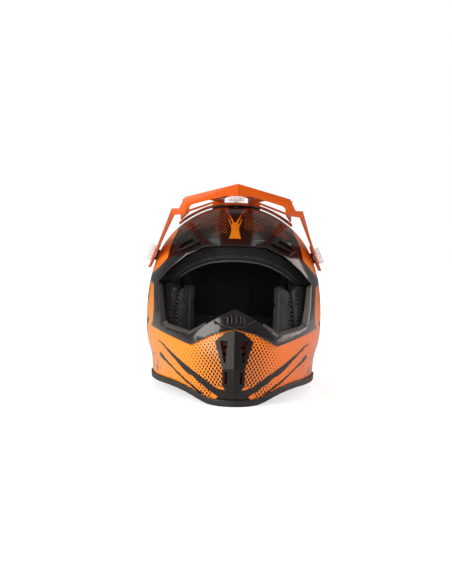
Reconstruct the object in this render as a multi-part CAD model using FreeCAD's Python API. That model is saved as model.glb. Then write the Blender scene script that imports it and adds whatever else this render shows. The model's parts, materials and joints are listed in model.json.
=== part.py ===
# Motocross helmet: a full-face off-road shell with a long chin bar, an open eyeport for goggles and a
# tilting peak held by three hand screws. It comes apart on a bench into the separate solids written below.
# Frame: millimetres, +Z up, the face looks along -Y, +X is to the right as seen from the front.
# Shapes are drawn from the ear line and then moved back by SHIFT_Y, so that the origin is on the resting
# plane below the middle of the whole helmet.
import FreeCAD, Part
import math
import os

V = FreeCAD.Vector

# ---------------------------------------------------------------- driving dimensions
SHIFT_Y = 37.8           # from the ear line to the middle of the whole helmet
SHELL_T = 4.0            # shell wall
SEAT = 0.3               # gap between nested parts
AROUND = 32              # control points round each level section
WIDEST_Y = 8.0           # where the shell is widest
BACK_ROUND = 2.2         # roundness of the back half of each section

FRAME_PROUD = 2.4        # eyeport frame above the shell
NOSE_PROUD = 3.4         # nose guard above the shell
FRAME_DEPTH = 9.0        # how far the frame's lip reaches below the shell's outer face
FRAME_LIP = 3.0          # thickness of that lip, with its gap to the shell's edge
EYEPORT_BACK = -32.0     # the eyeport is cut no further back than this

TRIM_H = 8.6             # height of the bottom edge trim
TRIM_T = 2.1             # its walls
TRIM_BASE = 2.7          # its thickness under the shell's edge

PIVOT_Y = 12.0           # the side screws and the centre screw stand at the same place along Y
PIVOT_Z = 188.0
TAB_X = 116.0            # outer face of the peak's side tab at the pivot
TAB_LEAN = math.atan(0.40)
PEAK_T = 2.6             # wall of the peak
TONGUE_GAP = 3.2         # the peak's tongue above the shell's crown

SHAFT_R = 3.0            # hand screws
HEAD_R = 12.0
HEAD_T = 6.5
TILT_HOLE_R = 4.6        # hole in the peak's side tab: level, while the screw leans
PAD_RISE = 2.1           # the centre insert's pad above the shell

STRAP_Y = 20.0           # middle of the chin strap
STRAP_W = 20.0
STRAP_T = 2.0
RIVET_Z = 80.0
RIVET_HEAD_R = 5.5
RIVET_SEAT = 124.3       # bottom of the shallow recess that holds the rivet's outer head

# Shell sections: height, half width, front, back, roundness of the front half.
SHELL_ROWS = (
    (0, 113.5, -187, 117, 1.66), (18, 115.5, -193.5, 120, 1.66), (36, 116.0, -197, 127, 1.66),
    (52, 118.5, -198, 135, 1.68), (64, 123.5, -197, 141, 1.70), (80, 125.5, -194.5, 147, 1.72),
    (98, 126, -189.5, 151, 1.76), (116, 125.5, -182, 153, 1.82), (134, 124.2, -172, 153.5, 1.9),
    (152, 121.4, -161, 152.5, 2.0), (170, 117, -150, 149, 2.1), (188, 110.5, -140, 143, 2.15),
    (206, 101, -130, 132, 2.15), (222, 88, -114, 116, 2.15), (236, 71.5, -92, 95, 2.1),
    (248, 51, -64, 69, 2.0), (255.5, 31, -35, 44, 2.0), (258.5, 13, -8, 24, 2.0),
)
SHELL_TOP = (8.0, 258.5)

# The room for the head inside the impact foam, in the same terms.
HEAD_ROWS = (
    (36, 84, -92, 102, 2.2), (70, 86, -96, 108, 2.2), (100, 87.5, -99, 114, 2.2), (130, 88, -101, 118, 2.2),
    (160, 86.5, -97, 117.5, 2.2), (184, 80, -90, 110, 2.1), (204, 67, -76, 95, 2.1),
    (218, 48, -54, 72, 2.0), (227, 26, -26, 44, 2.0), (229.5, 10, -4, 20, 2.0),
)
HEAD_TOP = (8.0, 229.5)

# The slanted front face of the brow pad, wider towards the top, in the same terms.
BROW_ROWS = (
    (130, 108, -70, 60, 2.2), (148, 110, -84, 60, 2.2), (165, 108, -92, 60, 2.2), (181, 103, -101, 60, 2.2),
    (195, 97, -113, 60, 2.2), (204, 92, -121, 60, 2.2), (214, 84, -121, 60, 2.2),
)
BROW_TOP = (0.0, 216.0)

# The peak's roof: a gable from its front to its back station, each as y, half width, ridge and edge heights.
ROOF_STATIONS = ((-232, 66, 278.8, 262), (4, 79.5, 276.5, 247.5))

# Height of the lower edge along its side view: the helmet stands on the chin and on the middle of the neck edge.
RIM = ((-230, 0), (-184, 0), (-176, 1.2), (-168, 4.5), (-158, 9.0), (-146, 12.6), (-130, 15), (-108, 16),
       (-80, 15.2), (-50, 14.4), (-10, 14), (25, 12.6), (50, 10), (74, 6), (90, 2), (100, 0), (200, 0))

# Outlines seen from the front as (x, z). Each is the right half, from the top centre to the bottom centre.
EYEPORT = ((0, 204), (40, 201.5), (65, 189.5), (88, 170.5), (104, 153), (102.5, 147), (101, 120), (97, 97.5),
           (88, 93.5), (57, 89), (18.4, 115), (0, 123))
FRAME_EDGE = ((0, 212.5), (39, 211.5), (47, 206.5), (74, 193.5), (82, 195), (103, 172), (116, 160),
              (117.5, 151), (111, 147), (109.8, 118), (111, 97), (114, 91.5), (56, 75.5), (26, 92), (0, 98.5))
NOSE_GUARD = ((0, 130), (27.5, 112), (27.5, 109.5), (12.5, 101.5), (0, 99.8))
MOUTH_VENT = ((0, 97.4), (11, 94.3), (24.4, 82.8), (18.5, 64), (14.2, 49), (14.5, 28), (9, 20.5), (0, 16.5))
BROW_PAD = ((0, 203.5), (40, 201), (64.6, 189), (87.5, 170), (102, 154), (97, 148.4), (84, 149.5), (70, 161),
            (52, 171), (30, 178.5), (0, 181))

# Outlines on the right only; the left ones are mirrored.
BROW_VENT = ((48, 208), (56, 215), (72, 208.5), (84, 197.5), (75, 194.8))
BROW_SLOT = ((54.5, 207.5), (58, 211.5), (70, 206), (77.5, 198.8), (74, 198))
UPPER_SLOT = ((8.2, 84), (18, 84), (12.6, 57), (10.6, 57))
LOWER_SLOT = ((7.6, 46), (11.4, 46), (11.4, 29), (7.6, 31.5))
REAR_VENT = ((26, 216), (50, 209), (60, 184), (34, 190))
REAR_SLOTS = (((31, 209), (48, 204), (50, 199), (32, 204)), ((33, 199.5), (51, 195), (53, 190), (35, 194.5)))
EXHAUST = ((0, 74), (44, 70), (38, 52), (0, 55))

# The cheek pad in plan, right side, as (x, y).
CHEEK_PAD = ((112, -70), (76, -80), (60, -64), (56, -20), (60, 18), (76, 33), (112, 33))


# ---------------------------------------------------------------- outlines and prisms
def both_sides(half):
    """The closed outline whose right half is given from the top centre to the bottom centre."""
    left = [(-x, z) for x, z in reversed(half) if x > 0]
    return list(half) + left


def grown(points, distance):
    """A closed outline moved outwards by a distance, with mitred corners. Negative moves it inwards."""
    count = len(points)
    area = 0.0
    for i in range(count):
        here, after = points[i], points[(i + 1) % count]
        area += here[0] * after[1] - after[0] * here[1]
    side = 1.0 if area > 0 else -1.0
    moved = []
    for i in range(count):
        before, here, after = points[i - 1], points[i], points[(i + 1) % count]
        first = V(here[0] - before[0], here[1] - before[1], 0).normalize()
        second = V(after[0] - here[0], after[1] - here[1], 0).normalize()
        first_out = V(first.y, -first.x, 0) * side
        second_out = V(second.y, -second.x, 0) * side
        middle = first_out + second_out
        middle.normalize()
        reach = distance / max(0.35, middle.dot(first_out))
        moved.append((here[0] + middle.x * reach, here[1] + middle.y * reach))
    return moved


def swept(corners, direction):
    """The flat polygon through the corners, swept along a direction."""
    wire = Part.makePolygon(corners + corners[:1])
    return Part.Face(wire).extrude(direction)


def front_prism(points, near=-300.0, far=EYEPORT_BACK):
    """An outline of (x, z), swept along Y."""
    return swept([V(x, near, z) for x, z in points], V(0, far - near, 0))


def side_prism(points, x_from=-200.0, x_to=200.0):
    """An outline of (y, z), swept along X."""
    return swept([V(x_from, y, z) for y, z in points], V(x_to - x_from, 0, 0))


def plan_prism(points, z_from, z_to):
    """An outline of (x, y), swept along Z."""
    return swept([V(x, y, z_from) for x, y in points], V(0, 0, z_to - z_from))


def box(x0, x1, y0, y1, z0, z1):
    return Part.makeBox(x1 - x0, y1 - y0, z1 - z0, V(x0, y0, z0))


def cylinder(radius, start, end):
    """A round bar from one point to another."""
    return Part.makeCylinder(radius, (end - start).Length, start, end - start)


def mirrored(shape):
    """The same part on the other side of the helmet."""
    return shape.mirror(V(0, 0, 0), V(1, 0, 0))


def pair(shape):
    return shape.fuse(mirrored(shape))


def prism_between(lower, upper):
    """A straight-sided solid between two flat outlines with the same number of corners."""
    wires = [Part.makePolygon(corners + corners[:1]) for corners in (lower, upper)]
    return Part.makeLoft(wires, True, True)


# ---------------------------------------------------------------- curved skins
def section(row):
    """Control points of one level section: a pointed front half and a rounder back half."""
    z, half_width, front, back, roundness = row
    ring = []
    for i in range(AROUND):
        angle = 2 * math.pi * i / AROUND
        across, along = math.sin(angle), math.cos(angle)
        power = 2 / roundness if along > 0 else 2 / BACK_ROUND
        reach = (WIDEST_Y - front) if along > 0 else (back - WIDEST_Y)
        x = half_width * math.copysign(abs(across) ** power, across)
        y = WIDEST_Y - reach * math.copysign(abs(along) ** power, along)
        ring.append(V(x, y, z))
    return ring


def inset_rings(rings, inset, floor):
    """The rings of control points moved inwards, square to the surface they describe."""
    moved = []
    for level in range(len(rings) - 1):
        below = rings[max(level - 1, 0)]
        above = rings[level + 1]
        out = []
        for i, point in enumerate(rings[level]):
            around = rings[level][(i + 1) % AROUND] - rings[level][i - 1]
            normal = around.cross(above[i] - below[i])
            normal.normalize()
            if level == len(rings) - 2:
                normal = V(normal.x * 0.25, normal.y * 0.25, 1).normalize()
            place = point - normal * inset
            out.append(V(place.x, place.y, floor) if level == 0 else place)
        moved.append(out)
    moved.append([point - V(0, 0, inset) for point in rings[-1]])
    return moved


def skin(rows, top, inset, floor):
    """The closed solid under a dome given by its sections, moved inwards by inset, with a flat base at floor."""
    rings = [section((floor,) + rows[0][1:])]
    rings += [section(row) for row in rows]
    rings.append([V(0, top[0], top[1])] * AROUND)
    rings = inset_rings(rings, inset, floor)
    poles = [[ring[i] for ring in rings] for i in range(AROUND)]
    spans = len(rings) - 3
    surface = Part.BSplineSurface()
    surface.buildFromPolesMultsKnots(
        poles, [1] * (AROUND + 1), [4] + [1] * (spans - 1) + [4],
        [float(i) for i in range(AROUND + 1)], [float(i) for i in range(spans + 1)],
        True, False, 3, 3)
    side = surface.toShape()
    base_edge = [edge for edge in side.Edges if edge.BoundBox.ZMax < floor + 0.01][0]
    closed = Part.makeShell([side, Part.Face(Part.Wire([base_edge]))])
    closed.sewShape()
    solid = Part.makeSolid(closed)
    if solid.Volume < 0:
        solid.reverse()
    return solid


made_skins = {}


def shell_skin(inset):
    """The shell's outer surface moved inwards, as a solid. Kept, because many parts are cut with it."""
    if inset not in made_skins:
        made_skins[inset] = skin(SHELL_ROWS, SHELL_TOP, inset, -20.0 - (inset + 8.0))
    return made_skins[inset]


def head_skin(inset):
    """The head room moved inwards, as a solid."""
    return skin(HEAD_ROWS, HEAD_TOP, inset, -10.0 - inset)


def layer(outer, inner):
    """The material between two skins, given as insets from the shell's outer surface."""
    return shell_skin(outer).cut(shell_skin(inner))


def rim_slab(low, high):
    """Everything between two heights above the helmet's lower edge."""
    lower = [(y, z + low) for y, z in RIM]
    upper = [(y, z + high) for y, z in reversed(RIM)]
    return side_prism(lower + upper)


def below_rim(rise):
    return rim_slab(-120.0, rise)


# ---------------------------------------------------------------- where the screws stand
def tab_point(along, up, out):
    """A point on the right side tab: along Y, up the tab and outwards from its outer face at the pivot."""
    across = V(math.cos(TAB_LEAN), 0, math.sin(TAB_LEAN))
    rise = V(-math.sin(TAB_LEAN), 0, math.cos(TAB_LEAN))
    return V(TAB_X, PIVOT_Y + along, PIVOT_Z) + rise * up + across * out


def side_bar(radius, start, end):
    """A round bar on the right screw's axis, between two distances from the tab's outer face."""
    return cylinder(radius, tab_point(0, 0, start), tab_point(0, 0, end))


def crown_bar(radius, low, high):
    """An upright round bar on the centre screw's axis."""
    return cylinder(radius, V(0, PIVOT_Y, low), V(0, PIVOT_Y, high))


def rivet_bar(radius, start, end):
    """A round bar along X on the right strap rivet's axis."""
    return cylinder(radius, V(start, STRAP_Y, RIVET_Z), V(end, STRAP_Y, RIVET_Z))


# ---------------------------------------------------------------- shell and its hard parts
def outer_shell():
    shell = layer(0.0, SHELL_T)
    shell = shell.cut(front_prism(grown(both_sides(EYEPORT), FRAME_LIP)))
    shell = shell.cut(below_rim(TRIM_BASE + SEAT))
    for slot in (UPPER_SLOT, LOWER_SLOT):
        shell = shell.cut(pair(front_prism(grown(slot, 1.2))))
    shell = shell.cut(pair(front_prism(grown(BROW_SLOT, 0.8), far=-60.0)))
    for slot in REAR_SLOTS:
        shell = shell.cut(pair(front_prism(grown(slot, 0.8), near=60.0, far=250.0)))
    shell = shell.cut(front_prism(grown(both_sides(EXHAUST), -5.0), near=60.0, far=250.0))
    shell = shell.cut(box(-13.5, 13.5, -300, -100, 105.0, 120.0))
    shell = shell.cut(pair(side_bar(8.2, -30.0, 10.0)))
    shell = shell.cut(crown_bar(7.2, 240.0, 270.0))
    shell = shell.cut(pair(rivet_bar(RIVET_HEAD_R + SEAT, RIVET_SEAT, 135.0)))
    return shell.cut(pair(rivet_bar(2.5, 100.0, 135.0)))


def frame_ring(proud):
    """A band over the shell's edge all round the eyeport, with a lip inside the edge."""
    flange = layer(-proud, -SEAT).common(front_prism(both_sides(FRAME_EDGE)))
    lip = layer(-proud, FRAME_DEPTH).common(front_prism(grown(both_sides(EYEPORT), FRAME_LIP - SEAT)))
    return flange.fuse(lip).cut(front_prism(both_sides(EYEPORT)))


def eyeport_frame():
    ring = frame_ring(FRAME_PROUD)
    ring = ring.cut(front_prism(grown(both_sides(NOSE_GUARD), SEAT)))
    ring = ring.cut(pair(front_prism(grown(BROW_VENT, SEAT))))
    return ring.removeSplitter()


def nose_guard():
    guard = frame_ring(NOSE_PROUD).common(front_prism(both_sides(NOSE_GUARD)))
    for x in (-11.0, -5.5, 0.0, 5.5, 11.0):
        top = 117.0 - 0.38 * abs(x)
        guard = guard.cut(box(x - 1.2, x + 1.2, -300, -100, 106.0, top))
    return guard


def mouth_vent_housing():
    """A ridged cover on the chin with two upper and two lower slots, folded at its waist."""
    ridge = ((98.5, -195.5), (49.0, -204.5), (10.0, -198.5))
    halves = []
    for (z_top, y_top), (z_low, y_low) in zip(ridge, ridge[1:]):
        corners = []
        for z, y in ((z_low, y_low), (z_top, y_top)):
            corners.append([V(0, y, z), V(40, y + 19.5, z), V(40, -120, z), V(-40, -120, z), V(-40, y + 19.5, z)])
        halves.append(prism_between(corners[0], corners[1]))
    body = halves[0].fuse(halves[1]).common(front_prism(both_sides(MOUTH_VENT), far=-120.0))
    body = body.cut(shell_skin(-SEAT))
    for slot in (UPPER_SLOT, LOWER_SLOT):
        body = body.cut(pair(front_prism(slot)))
    waist = box(-30, 30, -230, -197.5, 48.6, 49.4)
    return body.cut(waist)


def mouth_vent_grille():
    """A plate behind the chin slots, slatted behind the upper pair and closed behind the lower."""
    plate = layer(SHELL_T + SEAT, 6.2).common(front_prism(grown(both_sides(MOUTH_VENT), 2.0), far=-140.0))
    for row in range(4):
        z = 56.8 + row * 8.6
        plate = plate.cut(pair(box(5.5, 13.5, -300, -140, z, z + 3.2)))
    return plate


def brow_vent():
    scoop = layer(-6.0, -SEAT).common(front_prism(BROW_VENT, far=-60.0))
    return scoop.cut(front_prism(BROW_SLOT, far=-60.0))


def rear_vent():
    cover = layer(-5.0, -SEAT).common(front_prism(REAR_VENT, near=60.0, far=250.0))
    for slot in REAR_SLOTS:
        cover = cover.cut(front_prism(slot, near=60.0, far=250.0))
    return cover


def rear_exhaust():
    cover = layer(-3.5, -SEAT).common(front_prism(both_sides(EXHAUST), near=60.0, far=250.0))
    for x in (-30.0, -18.0, -6.0, 6.0, 18.0, 30.0):
        cover = cover.cut(box(x - 3.0, x + 3.0, 60, 250, 59.0, 66.0))
    return cover


def bottom_edge_trim():
    """A rubber channel pushed over the shell's lower edge."""
    outer = layer(-SEAT - TRIM_T, SHELL_T + SEAT + TRIM_T)
    groove = layer(-SEAT, SHELL_T + SEAT).common(rim_slab(TRIM_BASE, TRIM_H + 5.0))
    return outer.common(rim_slab(0.0, TRIM_H)).cut(groove)


# ---------------------------------------------------------------- impact foam and padding
def eps_crown():
    foam = shell_skin(SHELL_T + SEAT).cut(head_skin(0.0))
    keep = box(-140, 140, -150, 160, 152, 270).fuse(box(-140, 140, 50, 160, 66, 160))
    foam = foam.common(keep)
    foam = foam.cut(front_prism(grown(both_sides(EYEPORT), FRAME_LIP + 0.4)))
    foam = foam.cut(pair(side_bar(9.0, -24.0, 0.0)))
    foam = foam.cut(crown_bar(8.0, 242.0, 270.0))
    for slot in REAR_SLOTS:
        foam = foam.cut(pair(front_prism(slot, near=60.0, far=250.0)))
    return foam


def eps_chin():
    foam = layer(6.6, 24.0).common(box(-110, 110, -220, -100, 20, 79))
    return foam.cut(pair(front_prism(UPPER_SLOT)))


def cheek_block():
    block = layer(SHELL_T + SEAT, 18.0).common(box(0, 140, -86, -16, 46, 146))
    return block.cut(front_prism(grown(both_sides(EYEPORT), FRAME_LIP + 0.4)))


def cheek_pad():
    pad = plan_prism(CHEEK_PAD, 49.0, 147.0)
    return pad.common(shell_skin(20.0))


def cheek_snap(y, z):
    """A press stud between the cheek pad and the foam block behind it."""
    return cylinder(5.0, V(60, y, z), V(140, y, z)).common(layer(18.15, 19.85))


def brow_pad():
    face = skin(BROW_ROWS, BROW_TOP, 0.0, 110.0)
    pad = face.common(front_prism(both_sides(BROW_PAD), far=-33.0))
    return pad.common(shell_skin(FRAME_DEPTH + 0.4)).cut(head_skin(-SEAT))


def crown_liner():
    cloth = head_skin(SEAT).cut(head_skin(6.5))
    keep = box(-140, 140, -150, 160, 186, 270).fuse(box(-140, 140, -28, 160, 154, 190))
    return cloth.common(keep.fuse(box(-140, 140, 52, 160, 92, 160)))


def neck_pad():
    return layer(7.2, 27.0).common(box(-140, 140, 54, 160, 20, 62))


# ---------------------------------------------------------------- peak and its screws
def peak_front():
    """The folded front band of the peak with its two shoulders."""
    band = ((0, 279), (65, 262.5), (69, 255), (72.5, 248.5), (82, 248.5), (81, 240), (68, 241.5), (62, 248),
            (56, 253.5), (40, 258), (16, 263.8), (0, 264))
    outside = ((0, -228), (65, -205), (82, -191), (82, -187.5))
    inside = ((64, -201.6), (0, -224.5), (-64, -201.6))
    plan = [*outside, *inside] + [(-x, y) for x, y in reversed(outside) if x > 0]
    return front_prism(both_sides(band), far=-150.0).common(plan_prism(plan, 230, 290))


def roof_outline(y, half, ridge, edge, depth=PEAK_T):
    """One upright cross-section of the peak's roof: a shallow gable of even thickness."""
    upper = [V(-half, y, edge), V(0, y, ridge), V(half, y, edge)]
    lower = [V(half, y, edge - depth), V(0, y, ridge - depth), V(-half, y, edge - depth)]
    return upper + lower


def under_roof():
    """Everything from the roof's top face down to below the peak."""
    return prism_between(*(roof_outline(*station, depth=40) for station in ROOF_STATIONS))


def peak_roof():
    """The top panel: open over the centre screw and cut away on both sides of the middle duct."""
    roof = prism_between(*(roof_outline(*station) for station in ROOF_STATIONS))
    roof = roof.common(plan_prism([(0, -226), (65, -203), (90, -190), (90, 10), (-90, 10), (-90, -190),
                                   (-65, -203)], 230, 290))
    window = [(42, -188), (57, -190), (72, -4), (25, -4)]
    roof = roof.cut(pair(plan_prism(window, 230, 290)))
    return roof.cut(box(-16.5, 16.5, -30, 40, 255, 290))


def peak_walls():
    """The duct walls beside the centre screw, closed off behind, and the outer walls under the roof's edges."""
    duct = plan_prism([(41, -206), (38, -206), (16.5, -30), (16.5, 6), (19.1, 6), (19.1, -30)], 240, 290)
    duct_side = side_prism([(-206, 261), (-206, 290), (4, 290), (4, 262.5), (-30, 261.2)])
    outer = plan_prism([(59.5, -200), (62.1, -200), (80, 4), (77.4, 4)], 230, 290)
    outer_side = side_prism([(-200, 243.5), (-200, 290), (4, 290), (4, 238.0)])
    duct = duct.common(duct_side).fuse(box(17, 34, -4, -1.4, 250, 290).cut(shell_skin(-TONGUE_GAP - 0.6)))
    below = under_roof()
    return pair(duct.common(below)), pair(outer.common(outer_side).common(below))


def peak_saddle():
    """The band that arches over the shell behind the roof, and the slotted tongue in its middle."""
    arch = layer(-TONGUE_GAP - PEAK_T, -TONGUE_GAP)
    plan = [(-81, 2), (-19, 2), (-15, -26), (15, -26), (19, 2), (81, 2), (81, 27), (-81, 27)]
    saddle = arch.common(plan_prism(plan, 225, 290))
    slot = box(-3.4, 3.4, -0.5, 24.5, 250, 290)
    return saddle.cut(slot)


def peak_arm():
    """The right arm, from the shoulder back to the tab under the side screw."""
    front = [V(82, -190, 248.5), V(81, -190, 240), V(78.2, -190, 240.3), V(79.2, -190, 248.5)]
    edge = PIVOT_Y * -1.0 - PIVOT_Y
    back = [tab_point(edge, 18, 0), tab_point(edge, -20, 0), tab_point(edge, -20, -PEAK_T),
            tab_point(edge, 18, -PEAK_T)]
    arm = prism_between(front, back)
    plate = swept([tab_point(edge - 0.5, 18, -PEAK_T), tab_point(edge - 0.5, -20, -PEAK_T),
                   tab_point(4, -20, -PEAK_T), tab_point(15, -13, -PEAK_T), tab_point(19, 0, -PEAK_T),
                   tab_point(15, 12, -PEAK_T), tab_point(4, 18, -PEAK_T)],
                  tab_point(0, 0, 0) - tab_point(0, 0, -PEAK_T))
    hole = cylinder(TILT_HOLE_R, V(90, PIVOT_Y, PIVOT_Z), V(140, PIVOT_Y, PIVOT_Z))
    return arm.fuse(plate).cut(hole)


def peak():
    duct, outer = peak_walls()
    body = peak_front()
    for piece in (peak_roof(), duct, outer, peak_saddle(), pair(peak_arm())):
        body = body.fuse(piece)
    return body


def knurled_head(base, direction):
    """A round finger grip with a fluted edge."""
    head = Part.makeCylinder(HEAD_R, HEAD_T, base, direction)
    head = head.makeChamfer(1.0, [edge for edge in head.Edges if edge.Curve.TypeId == "Part::GeomCircle"])
    side = V(0, 1, 0)
    other = direction.cross(side)
    for i in range(12):
        angle = 2 * math.pi * i / 12
        centre = base + (side * math.cos(angle) + other * math.sin(angle)) * (HEAD_R + 0.9)
        flute = Part.makeCylinder(2.0, HEAD_T + 2.0, centre - direction, direction)
        head = head.cut(flute)
    return head


def side_screw():
    out = tab_point(0, 0, 1) - tab_point(0, 0, 0)
    screw = side_bar(SHAFT_R, -13.5, 1.0).fuse(side_bar(6.0, 0.7, 2.2))
    return screw.fuse(knurled_head(tab_point(0, 0, 2.0), out))


def centre_screw():
    tongue_top = SHELL_TOP[1] + TONGUE_GAP + PEAK_T
    screw = crown_bar(SHAFT_R, 249.0, tongue_top + 1.5)
    screw = screw.fuse(crown_bar(5.5, tongue_top + 1.5, tongue_top + 2.2))
    return screw.fuse(knurled_head(V(0, PIVOT_Y, tongue_top + 2.0), V(0, 0, 1)))


def side_insert():
    """A threaded bush through the shell, standing out to the peak's tab."""
    bush = side_bar(8.0, -16.0, -PEAK_T - 0.8)
    return bush.cut(side_bar(SHAFT_R + 0.05, -14.0, 5.0))


def centre_insert():
    """A threaded bush with a low pad that carries the peak's tongue."""
    pad = layer(-PAD_RISE, -0.1).common(box(-34, 34, -2, 26, 240, 290))
    bush = crown_bar(7.0, 246.0, SHELL_TOP[1] + PAD_RISE)
    return bush.fuse(pad).cut(crown_bar(SHAFT_R + 0.05, 248.5, 270.0))


# ---------------------------------------------------------------- chin strap
def strip(path, width, thickness, middle_y):
    """A strap of even thickness laid along a path of (x, z) points."""
    count = len(path)
    near, far = [], []
    for i, (x, z) in enumerate(path):
        before, after = path[max(i - 1, 0)], path[min(i + 1, count - 1)]
        along = V(after[0] - before[0], 0, after[1] - before[1]).normalize()
        out = V(along.z, 0, -along.x) * (thickness / 2)
        near.append((x + out.x, z + out.z))
        far.append((x - out.x, z - out.z))
    points = near + list(reversed(far))
    corners = [V(x, middle_y - width / 2, z) for x, z in points]
    return swept(corners, V(0, width, 0))


def strap_run(side):
    """The part of the path that both straps share, from the rivet to below the jaw."""
    run = ((116.8, 94), (116.8, 70), (110.5, 52), (104.5, 40), (95, 30), (80, 21.5), (62, 16))
    return [(side * x, z) for x, z in run]


def chin_strap_long():
    path = strap_run(1) + [(40, 13.6), (10, 13.6), (-14, 17), (-30, 20.2), (-60, 20.8), (-68, 22.4), (-78, 27)]
    return strip(path, STRAP_W, STRAP_T, STRAP_Y).cut(rivet_bar(2.75, 100, 130))


def chin_strap_short():
    """The short strap, ending in a sewn loop that holds the bars of both rings."""
    strap = strip(strap_run(-1) + [(-48, 12.6), (-43, 12.6)], STRAP_W, STRAP_T, STRAP_Y)
    loop = box(-44.0, -30.5, STRAP_Y - 10, STRAP_Y + 10, 9.6, 15.6)
    loop = loop.cut(box(-42.4, -32.1, STRAP_Y - 12, STRAP_Y + 12, 11.1, 14.1))
    return strap.fuse(loop).cut(mirrored(rivet_bar(2.75, 100, 130)))


def d_ring(x):
    """A flat D-shaped ring standing across the strap; its straight bar lies in the strap's loop."""
    outside = [(-15, 11.4), (15, 11.4), (15, 19), (10, 25.6), (-10, 25.6), (-15, 19)]
    inside = [(-12.4, 13.8), (12.4, 13.8), (12.4, 18.6), (8.8, 23.2), (-8.8, 23.2), (-12.4, 18.6)]
    ring = side_prism([(STRAP_Y + y, z) for y, z in outside], x, x + 2.6)
    return ring.cut(side_prism([(STRAP_Y + y, z) for y, z in inside], x - 1, x + 4))


def strap_anchor():
    plate = box(118.1, 118.9, STRAP_Y - 8, STRAP_Y + 8, RIVET_Z - 5, RIVET_Z + 9)
    return plate.cut(rivet_bar(2.5, 100, 130))


def strap_rivet():
    pin = rivet_bar(2.4, 114.0, 125.0)
    inner_head = rivet_bar(5.0, 113.6, 115.4)
    outer_head = rivet_bar(RIVET_HEAD_R, RIVET_SEAT + 0.1, RIVET_SEAT + 1.4)
    return pin.fuse(inner_head).fuse(outer_head)


def strap_snap():
    return cylinder(6.0, V(-52, STRAP_Y, 22.0), V(-52, STRAP_Y, 24.4))


def chin_strap_pad():
    return box(-4, 48, STRAP_Y - 15, STRAP_Y + 15, 17.6, 24.0)


# ---------------------------------------------------------------- every piece
def parts():
    """Each named piece, drawn from the ear line."""
    made = {
        "outer_shell": outer_shell(),
        "eyeport_frame": eyeport_frame(),
        "nose_guard": nose_guard(),
        "mouth_vent_housing": mouth_vent_housing(),
        "mouth_vent_grille": mouth_vent_grille(),
        "rear_exhaust": rear_exhaust(),
        "bottom_edge_trim": bottom_edge_trim(),
        "eps_crown": eps_crown(),
        "eps_chin": eps_chin(),
        "brow_pad": brow_pad(),
        "crown_liner": crown_liner(),
        "neck_pad": neck_pad(),
        "peak": peak(),
        "centre_screw": centre_screw(),
        "centre_insert": centre_insert(),
        "chin_strap_long": chin_strap_long(),
        "chin_strap_short": chin_strap_short(),
        "d_ring_inner": d_ring(-41.6),
        "d_ring_outer": d_ring(-36.6),
        "strap_snap": strap_snap(),
        "chin_strap_pad": chin_strap_pad(),
    }
    handed = {
        "brow_vent": brow_vent(),
        "rear_vent": rear_vent(),
        "cheek_block": cheek_block(),
        "cheek_pad": cheek_pad(),
        "cheek_snap_upper": cheek_snap(-24, 110),
        "cheek_snap_lower": cheek_snap(-54, 66),
        "side_screw": side_screw(),
        "side_insert": side_insert(),
        "strap_anchor": strap_anchor(),
        "strap_rivet": strap_rivet(),
    }
    for name, shape in handed.items():
        made[name + "_right"] = shape
        made[name + "_left"] = mirrored(shape)
    return made


os.makedirs("parts", exist_ok=True)
for name, shape in parts().items():
    shape = shape.removeSplitter() if len(shape.Solids) != 1 else shape
    if len(shape.Solids) != 1 or not shape.isValid():
        print("LOOK", name, "solids", len(shape.Solids), "valid", shape.isValid())
    shape.translate(V(0, SHIFT_Y, 0))
    shape.exportStep("parts/" + name + ".step")
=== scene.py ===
"""Looks of the motocross helmet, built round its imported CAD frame.

Paint, plastics, rubber and metal are materials on the CAD nodes, and five hard parts get small real chamfers.
The padding and the webbing are new meshes that stand for their plain CAD solids, and the eyeport frame gets
inner walls. The paint patterns and the new pieces are given in millimetres, everything else in metres.
"""
import json
import math

import bmesh
import bpy
import numpy as np
from mathutils import Matrix, Vector
from mathutils.bvhtree import BVHTree


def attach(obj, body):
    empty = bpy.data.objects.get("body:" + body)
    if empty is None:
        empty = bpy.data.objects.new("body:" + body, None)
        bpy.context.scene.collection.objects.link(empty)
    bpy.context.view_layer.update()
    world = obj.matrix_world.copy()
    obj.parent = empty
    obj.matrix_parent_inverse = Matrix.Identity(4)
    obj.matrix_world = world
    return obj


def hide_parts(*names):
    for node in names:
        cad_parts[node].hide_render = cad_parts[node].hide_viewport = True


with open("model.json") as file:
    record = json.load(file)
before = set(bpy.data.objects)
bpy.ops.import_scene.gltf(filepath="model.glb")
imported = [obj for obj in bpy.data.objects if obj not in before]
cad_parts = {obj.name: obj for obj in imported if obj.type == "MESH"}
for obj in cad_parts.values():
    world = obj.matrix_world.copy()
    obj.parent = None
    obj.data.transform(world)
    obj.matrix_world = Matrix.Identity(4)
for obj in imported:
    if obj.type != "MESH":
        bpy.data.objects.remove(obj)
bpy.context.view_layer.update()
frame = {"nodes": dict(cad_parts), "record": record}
NODES = frame["nodes"]
MM = 0.001
EAR_Y = 0.0378                  # the ear line in the row frame
WIDEST_Y = 8.0                  # the shell is widest this far behind the ear line, in mm
AXIS_Y = EAR_Y + WIDEST_Y * MM
STRAP_Y = 20.0                  # the middle of the chin strap is this far behind the ear line, in mm


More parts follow.
